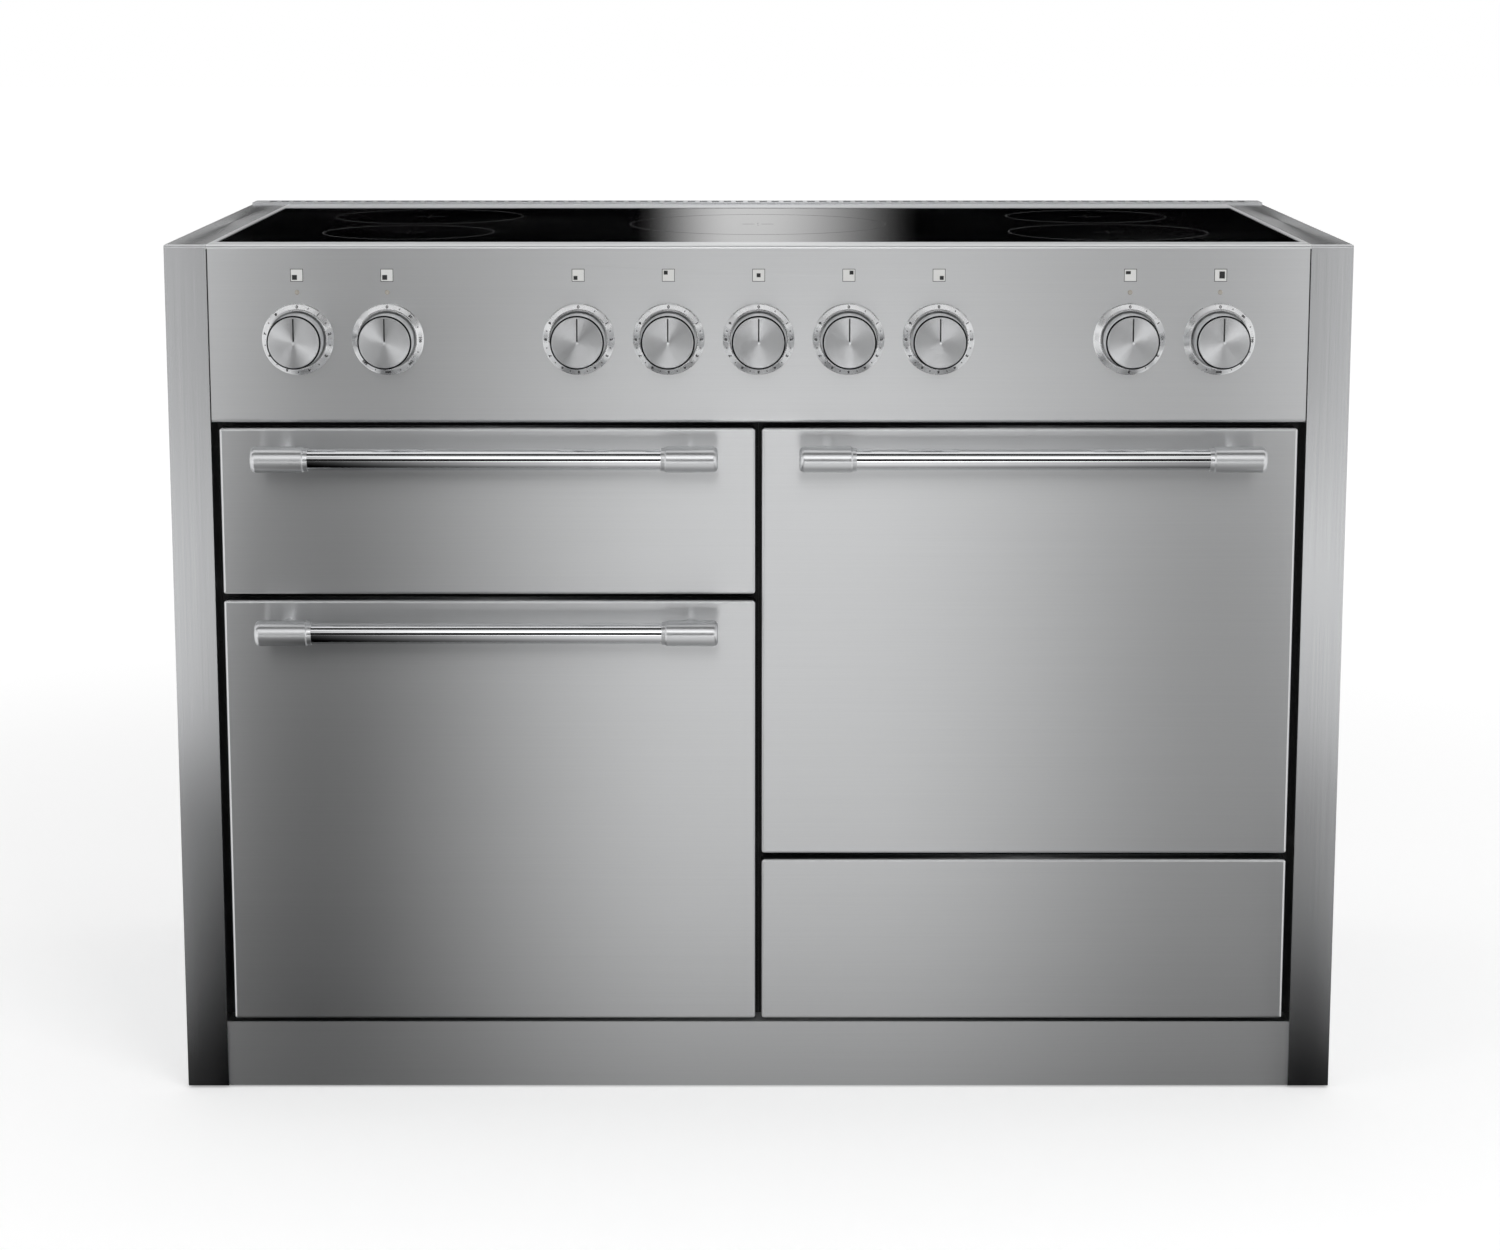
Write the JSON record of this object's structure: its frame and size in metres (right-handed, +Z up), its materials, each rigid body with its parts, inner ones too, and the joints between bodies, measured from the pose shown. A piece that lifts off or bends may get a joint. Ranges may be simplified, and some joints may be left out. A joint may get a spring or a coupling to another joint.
{
  "type": "induction range cooker",
  "caption": "Wide stainless steel range cooker with a black glass induction hob, glide-out grill, drop-down oven doors, storage drawer, rotary knobs and tubular handles.",
  "frame": {"origin": "on the floor, under the middle of the overall box", "axes": "+X to the right seen from the front, -Y towards the user, +Z up"},
  "size_m": [1.212, 0.658, 0.9],
  "materials": {
    "stainless": "satin brushed",
    "polished_steel": "polished",
    "black_enamel": "gloss enamel",
    "galvanised_steel": "galvanised",
    "black_plastic": "moulded",
    "seal_rubber": "matte silicone",
    "black_glass": "polished ceramic glass",
    "coil_copper": "enamelled copper wire",
    "aluminium": "cast",
    "amber_lens": "clear lens"
  },
  "bodies": {
    "cooker": {"side_panel_left": "stainless", "side_panel_right": "stainless", "base_tray": "galvanised_steel", "back_panel": "galvanised_steel", "drawer_housing": "galvanised_steel", "front_frame": "black_enamel", "plinth": "stainless", "levelling_feet": "black_plastic", "terminal_cover": "galvanised_steel", "control_panel": "stainless", "knob_bezels": "stainless", "control_switches": "black_plastic", "neon_lenses": "amber_lens", "hob_glass": "black_glass", "hob_frame": "stainless", "rear_vent": "stainless", "induction_coils": "coil_copper", "induction_housings": "aluminium", "fan_motors": "galvanised_steel", "grill_liner": "black_enamel", "heating_elements": "galvanised_steel", "runner_rails": "galvanised_steel", "left_oven_liner": "black_enamel", "right_oven_liner": "black_enamel", "oven_seals": "seal_rubber", "oven_shelves": "polished_steel", "shelf_supports": "polished_steel", "fan_covers": "black_enamel"},
    "left_door": {"left_door_skin": "stainless", "left_door_inner": "black_enamel", "left_handle_bar": "polished_steel", "left_handle_ends": "stainless", "left_door_hinges": "galvanised_steel"},
    "right_door": {"right_door_skin": "stainless", "right_door_inner": "black_enamel", "right_handle_bar": "polished_steel", "right_handle_ends": "stainless", "right_door_hinges": "galvanised_steel"},
    "drawer": {"drawer_front": "stainless", "drawer_box": "galvanised_steel"},
    "drawer_runners": {"drawer_runner_middles": "galvanised_steel"},
    "grill": {"grill_front": "stainless", "grill_handle_bar": "polished_steel", "grill_handle_ends": "stainless", "grill_carriage": "galvanised_steel", "grill_pan": "black_enamel", "grill_trivet": "polished_steel"},
    "grill_runners": {"grill_runner_middles": "galvanised_steel"},
    "left_fan": {"left_oven_fan": "stainless"},
    "right_fan": {"right_oven_fan": "stainless"},
    "hob_fan": {"cooling_fan": "black_plastic"},
    "left_oven_function_knob": {"left_oven_function_knob": "stainless"},
    "left_oven_temperature_knob": {"left_oven_temperature_knob": "stainless"},
    "hob_zone_1_knob": {"hob_zone_1_knob": "stainless"},
    "hob_zone_2_knob": {"hob_zone_2_knob": "stainless"},
    "hob_zone_3_knob": {"hob_zone_3_knob": "stainless"},
    "hob_zone_4_knob": {"hob_zone_4_knob": "stainless"},
    "hob_zone_5_knob": {"hob_zone_5_knob": "stainless"},
    "grill_knob": {"grill_knob": "stainless"},
    "right_oven_temperature_knob": {"right_oven_temperature_knob": "stainless"}
  },
  "joints": [
    {"name": "door_left_hinge", "type": "hinge", "parent": "cooker", "child": "left_door", "pos_m": [-0.279, -0.271, 0.0855], "axis": [1, 0, 0], "range_deg": [0, 90], "stiffness_Nm_per_rad": 6, "springref_deg": -28.65},
    {"name": "door_right_hinge", "type": "hinge", "parent": "cooker", "child": "right_door", "pos_m": [0.279, -0.271, 0.266], "axis": [1, 0, 0], "range_deg": [0, 90], "stiffness_Nm_per_rad": 6, "springref_deg": -28.65},
    {"name": "drawer_slide", "type": "slide", "parent": "cooker", "child": "drawer", "axis": [0, -1, 0], "range_m": [0, 0.38]},
    {"name": "drawer_runner_slide", "type": "slide", "parent": "cooker", "child": "drawer_runners", "axis": [0, -1, 0], "range_m": [0, 0.19]},
    {"name": "grill_slide", "type": "slide", "parent": "cooker", "child": "grill", "axis": [0, -1, 0], "range_m": [0, 0.35]},
    {"name": "grill_runner_slide", "type": "slide", "parent": "cooker", "child": "grill_runners", "axis": [0, -1, 0], "range_m": [0, 0.175]},
    {"name": "fan_left_spin", "type": "hinge", "parent": "cooker", "child": "left_fan", "pos_m": [-0.279, 0.191, 0.3025], "axis": [0, 1, 0], "continuous": true},
    {"name": "fan_right_spin", "type": "hinge", "parent": "cooker", "child": "right_fan", "pos_m": [0.279, 0.191, 0.483], "axis": [0, 1, 0], "continuous": true},
    {"name": "fan_hob_spin", "type": "hinge", "parent": "cooker", "child": "hob_fan", "pos_m": [0, 0.256, 0.795], "axis": [0, 1, 0], "continuous": true},
    {"name": "left_oven_function_knob_turn", "type": "hinge", "parent": "cooker", "child": "left_oven_function_knob", "pos_m": [-0.471, -0.299, 0.8015], "axis": [0, 1, 0], "range_deg": [0, 315]},
    {"name": "left_oven_temperature_knob_turn", "type": "hinge", "parent": "cooker", "child": "left_oven_temperature_knob", "pos_m": [-0.379, -0.299, 0.8015], "axis": [0, 1, 0], "range_deg": [0, 270]},
    {"name": "hob_zone_1_knob_turn", "type": "hinge", "parent": "cooker", "child": "hob_zone_1_knob", "pos_m": [-0.184, -0.299, 0.8015], "axis": [0, 1, 0], "range_deg": [0, 300]},
    {"name": "hob_zone_2_knob_turn", "type": "hinge", "parent": "cooker", "child": "hob_zone_2_knob", "pos_m": [-0.092, -0.299, 0.8015], "axis": [0, 1, 0], "range_deg": [0, 300]},
    {"name": "hob_zone_3_knob_turn", "type": "hinge", "parent": "cooker", "child": "hob_zone_3_knob", "pos_m": [0, -0.299, 0.8015], "axis": [0, 1, 0], "range_deg": [0, 300]},
    {"name": "hob_zone_4_knob_turn", "type": "hinge", "parent": "cooker", "child": "hob_zone_4_knob", "pos_m": [0.092, -0.299, 0.8015], "axis": [0, 1, 0], "range_deg": [0, 300]},
    {"name": "hob_zone_5_knob_turn", "type": "hinge", "parent": "cooker", "child": "hob_zone_5_knob", "pos_m": [0.184, -0.299, 0.8015], "axis": [0, 1, 0], "range_deg": [0, 300]},
    {"name": "grill_knob_turn", "type": "hinge", "parent": "cooker", "child": "grill_knob", "pos_m": [0.379, -0.299, 0.8015], "axis": [0, 1, 0], "range_deg": [0, 270]},
    {"name": "right_oven_temperature_knob_turn", "type": "hinge", "parent": "cooker", "child": "right_oven_temperature_knob", "pos_m": [0.471, -0.299, 0.8015], "axis": [0, 1, 0], "range_deg": [0, 270]}
  ],
  "couplings": [
    {"joint": "drawer_runner_slide", "follows": "drawer_slide", "ratio": 0.5},
    {"joint": "grill_runner_slide", "follows": "grill_slide", "ratio": 0.5}
  ]
}
